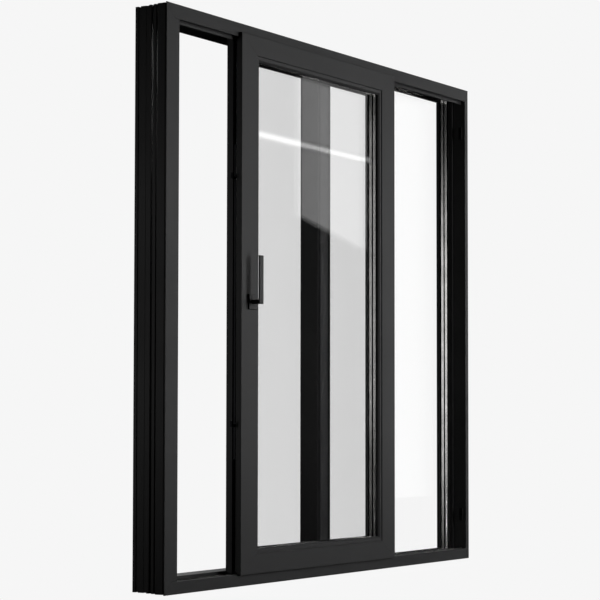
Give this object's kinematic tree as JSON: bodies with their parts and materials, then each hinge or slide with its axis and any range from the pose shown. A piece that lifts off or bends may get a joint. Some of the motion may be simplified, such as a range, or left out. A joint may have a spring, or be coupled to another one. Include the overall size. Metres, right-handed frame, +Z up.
{
  "type": "horizontal sliding window",
  "caption": "Dark powder-coated aluminium sliding window: a fixed glazed light and a glazed sash that rolls along the front track, with an L-shaped lever handle.",
  "frame": {"origin": "on the frame's room-side face, at the middle of its width and level with the bearing surface under the sill", "axes": "+X to the right seen from the room, +Y from the room to the outside, +Z up"},
  "size_m": [1.75, 0.1403, 1.5],
  "materials": {
    "powder_coat": "matt anthracite powder coat",
    "handle_coat": "satin black coating",
    "clear_glass": "clear, neutral low-emissivity",
    "spacer_metal": "bright mill aluminium",
    "black_rubber": "extruded seal, matt",
    "black_plastic": "fine satin",
    "stainless_steel": "brushed",
    "zinc_steel": "zinc plated",
    "black_steel": "black passivated",
    "brush_pile": "woven pile strip"
  },
  "bodies": {
    "frame": {"frame_head": "powder_coat", "frame_sill": "powder_coat", "frame_jamb_left": "powder_coat", "frame_jamb_right": "powder_coat", "mullion": "powder_coat", "sill_pocket_cover": "black_plastic", "head_pocket_cover": "black_plastic", "running_rail": "stainless_steel", "head_guide_rail": "powder_coat", "fixed_pane_inner": "clear_glass", "fixed_pane_middle": "clear_glass", "fixed_pane_outer": "clear_glass", "fixed_spacer_inner": "spacer_metal", "fixed_spacer_outer": "spacer_metal", "fixed_gasket_inner": "black_rubber", "fixed_gasket_outer": "black_rubber", "fixed_bead_bottom": "black_plastic", "fixed_bead_top": "black_plastic", "fixed_bead_left": "black_plastic", "fixed_bead_right": "black_plastic", "setting_block_left": "black_plastic", "setting_block_right": "black_plastic", "mullion_brush_left": "brush_pile", "mullion_brush_right": "brush_pile", "end_stop_lower": "black_rubber", "end_stop_upper": "black_rubber", "lock_keeper_lower": "stainless_steel", "lock_keeper_upper": "stainless_steel"},
    "sash": {"sash_stile_left": "powder_coat", "sash_stile_right": "powder_coat", "sash_rail_top": "powder_coat", "sash_rail_bottom": "powder_coat", "sash_pane_inner": "clear_glass", "sash_pane_middle": "clear_glass", "sash_pane_outer": "clear_glass", "sash_spacer_inner": "spacer_metal", "sash_spacer_outer": "spacer_metal", "sash_gasket_inner": "black_rubber", "sash_gasket_outer": "black_rubber", "sash_bead_left": "powder_coat", "sash_bead_right": "powder_coat", "sash_bead_bottom": "powder_coat", "sash_bead_top": "powder_coat", "roller_carriage_left": "zinc_steel", "roller_carriage_right": "zinc_steel", "roller_axle_left": "stainless_steel", "roller_axle_right": "stainless_steel", "top_guide_left": "black_plastic", "top_guide_right": "black_plastic", "lock_gearbox": "zinc_steel", "handle_rose": "handle_coat", "rose_screw_lower": "zinc_steel", "rose_screw_upper": "zinc_steel"},
    "lock_bar": {"lock_bar": "black_steel"},
    "handle": {"handle_lever": "handle_coat", "handle_spindle": "zinc_steel"},
    "roller_left": {"roller_wheel_left": "black_plastic"},
    "roller_right": {"roller_wheel_right": "black_plastic"}
  },
  "joints": [
    {"name": "sash_slide", "type": "slide", "parent": "frame", "child": "sash", "axis": [1, 0, 0], "range_m": [-0.2926, 0.5038]},
    {"name": "handle_turn", "type": "hinge", "parent": "sash", "child": "handle", "pos_m": [-0.4735, -0.0145, 0.7525], "axis": [0, 1, 0], "range_deg": [0, 90]},
    {"name": "lock_bar_slide", "type": "slide", "parent": "sash", "child": "lock_bar", "axis": [0, 0, 1], "range_m": [0, 0.018]},
    {"name": "roller_left_spin", "type": "hinge", "parent": "sash", "child": "roller_left", "pos_m": [-0.3766, 0.015, 0.0443], "axis": [0, 1, 0], "range_deg": [-1400, 2420]},
    {"name": "roller_right_spin", "type": "hinge", "parent": "sash", "child": "roller_right", "pos_m": [0.1984, 0.015, 0.0443], "axis": [0, 1, 0], "range_deg": [-1400, 2420]}
  ],
  "couplings": [
    {"joint": "lock_bar_slide", "follows": "handle_turn", "m_per_rad": 0.011458},
    {"joint": "roller_left_spin", "follows": "sash_slide", "rad_per_m": 83.333},
    {"joint": "roller_right_spin", "follows": "sash_slide", "rad_per_m": 83.333}
  ]
}
